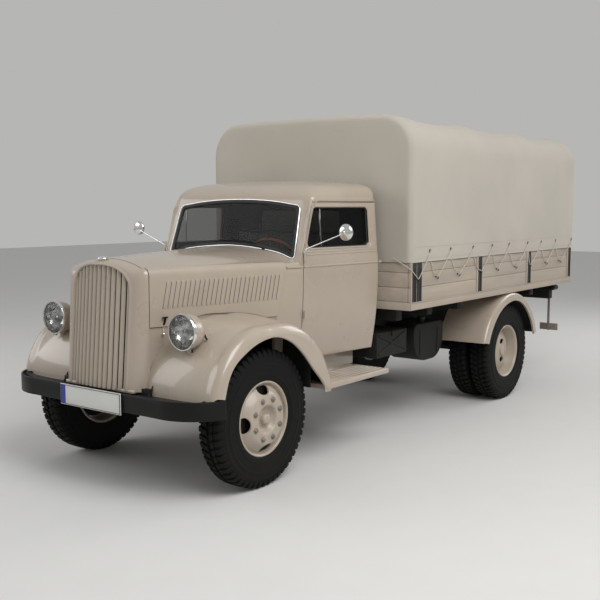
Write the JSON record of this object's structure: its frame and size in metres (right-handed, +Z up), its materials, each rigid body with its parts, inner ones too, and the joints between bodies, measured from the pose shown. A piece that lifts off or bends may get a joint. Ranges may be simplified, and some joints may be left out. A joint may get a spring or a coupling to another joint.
{
  "type": "military cargo truck",
  "caption": "Three-ton cargo truck with a steel cab, a louvred hood, twin rear wheels and a bed with wooden boards under a laced canvas tilt.",
  "frame": {"origin": "on the ground, under the middle of the truck's length and width", "axes": "+X to the truck's left, +Y to its rear, +Z up"},
  "size_m": [2.202, 5.835, 2.597],
  "materials": {
    "body_paint": "satin",
    "board_wood": "painted matte",
    "chassis_paint": "matte",
    "canvas": "matte",
    "tyre_rubber": "matte",
    "wheel_paint": "satin",
    "window_glass": "clear",
    "lamp_paint": "satin",
    "mirror_chrome": "polished",
    "seat_leather": "satin",
    "steering_brown": "gloss",
    "column_paint": "satin",
    "engine_iron": "rough",
    "core_metal": "matte"
  },
  "bodies": {
    "chassis": {"bed_floor": "board_wood", "bed_subframe": "chassis_paint", "cab_body": "body_paint", "cab_roof": "body_paint", "cab_windows": "window_glass", "canvas_bows": "chassis_paint", "canvas_tilt": "canvas", "cross_members": "chassis_paint", "engine_block": "engine_iron", "exhaust": "chassis_paint", "frame_rails": "chassis_paint", "front_axle": "chassis_paint", "front_board": "board_wood", "front_bumper": "body_paint", "front_fender_left": "body_paint", "front_fender_right": "body_paint", "fuel_tank": "chassis_paint", "headlamps": "lamp_paint", "leaf_springs": "chassis_paint", "marker_board": "chassis_paint", "mirrors": "mirror_chrome", "propeller_shaft": "chassis_paint", "radiator_core": "core_metal", "radiator_shell": "body_paint", "rear_axle": "chassis_paint", "rear_fenders": "body_paint", "running_boards": "body_paint", "seat_backrest": "seat_leather", "seat_cushion": "seat_leather", "side_boards": "board_wood", "steering_column": "column_paint", "tail_lamps": "chassis_paint", "tool_boxes": "chassis_paint"},
    "front_wheel_left_body": {"front_wheel_left": "wheel_paint", "front_tyre_left": "tyre_rubber"},
    "front_wheel_right_body": {"front_wheel_right": "wheel_paint", "front_tyre_right": "tyre_rubber"},
    "rear_wheels_left_body": {"rear_wheels_left": "wheel_paint", "rear_tyres_left": "tyre_rubber"},
    "rear_wheels_right_body": {"rear_wheels_right": "wheel_paint", "rear_tyres_right": "tyre_rubber"},
    "knuckle_left_body": {"knuckle_left": "chassis_paint"},
    "knuckle_right_body": {"knuckle_right": "chassis_paint"},
    "tie_rod_body": {"tie_rod": "chassis_paint"},
    "steering_wheel_body": {"steering_wheel": "steering_brown"},
    "door_left_body": {"door_left": "body_paint", "door_glass_left": "window_glass"},
    "door_right_body": {"door_right": "body_paint", "door_glass_right": "window_glass"},
    "hood_left_body": {"hood_left": "body_paint"},
    "hood_right_body": {"hood_right": "body_paint"},
    "tailgate_body": {"tailgate": "board_wood"}
  },
  "joints": [
    {"name": "steer_left", "type": "hinge", "parent": "chassis", "child": "knuckle_left_body", "pos_m": [0.68, -2.2015, 0.465], "axis": [0, 0, 1], "range_deg": [-30, 30]},
    {"name": "steer_right", "type": "hinge", "parent": "chassis", "child": "knuckle_right_body", "pos_m": [-0.68, -2.2015, 0.465], "axis": [0, 0, 1], "range_deg": [-30, 30]},
    {"name": "tie_rod_pivot", "type": "hinge", "parent": "knuckle_left_body", "child": "tie_rod_body", "pos_m": [0.68, -2.0215, 0.365], "axis": [0, 0, 1], "range_deg": [-30, 30]},
    {"name": "front_wheel_left_spin", "type": "hinge", "parent": "knuckle_left_body", "child": "front_wheel_left_body", "pos_m": [0.795, -2.2015, 0.465], "axis": [1, 0, 0], "continuous": true},
    {"name": "front_wheel_right_spin", "type": "hinge", "parent": "knuckle_right_body", "child": "front_wheel_right_body", "pos_m": [-0.795, -2.2015, 0.465], "axis": [1, 0, 0], "continuous": true},
    {"name": "rear_wheels_left_spin", "type": "hinge", "parent": "chassis", "child": "rear_wheels_left_body", "pos_m": [0.772, 1.3985, 0.465], "axis": [1, 0, 0], "continuous": true},
    {"name": "rear_wheels_right_spin", "type": "hinge", "parent": "chassis", "child": "rear_wheels_right_body", "pos_m": [-0.772, 1.3985, 0.465], "axis": [1, 0, 0], "continuous": true},
    {"name": "steering_wheel_turn", "type": "hinge", "parent": "chassis", "child": "steering_wheel_body", "pos_m": [0.3, -1.3045, 1.472], "axis": [0, 0.7071, 0.7071], "range_deg": [-510, 510]},
    {"name": "door_left_hinge", "type": "hinge", "parent": "chassis", "child": "door_left_body", "pos_m": [0.708, -1.5295, 1.3], "axis": [0, 0, 1], "range_deg": [-65, 0]},
    {"name": "door_right_hinge", "type": "hinge", "parent": "chassis", "child": "door_right_body", "pos_m": [-0.708, -1.5295, 1.3], "axis": [0, 0, 1], "range_deg": [0, 65]},
    {"name": "hood_left_hinge", "type": "hinge", "parent": "chassis", "child": "hood_left_body", "pos_m": [0, -2.7515, 1.516], "axis": [0, -0.9993, -0.0372], "range_deg": [0, 50]},
    {"name": "hood_right_hinge", "type": "hinge", "parent": "chassis", "child": "hood_right_body", "pos_m": [0, -2.7515, 1.516], "axis": [0, 0.9993, 0.0372], "range_deg": [0, 50]},
    {"name": "tailgate_hinge", "type": "hinge", "parent": "chassis", "child": "tailgate_body", "pos_m": [0, 2.9055, 1.088], "axis": [-1, 0, 0], "range_deg": [0, 170]}
  ],
  "couplings": [
    {"joint": "steer_right", "follows": "steer_left", "ratio": 1},
    {"joint": "tie_rod_pivot", "follows": "steer_left", "ratio": -1},
    {"joint": "steering_wheel_turn", "follows": "steer_left", "ratio": 17}
  ]
}
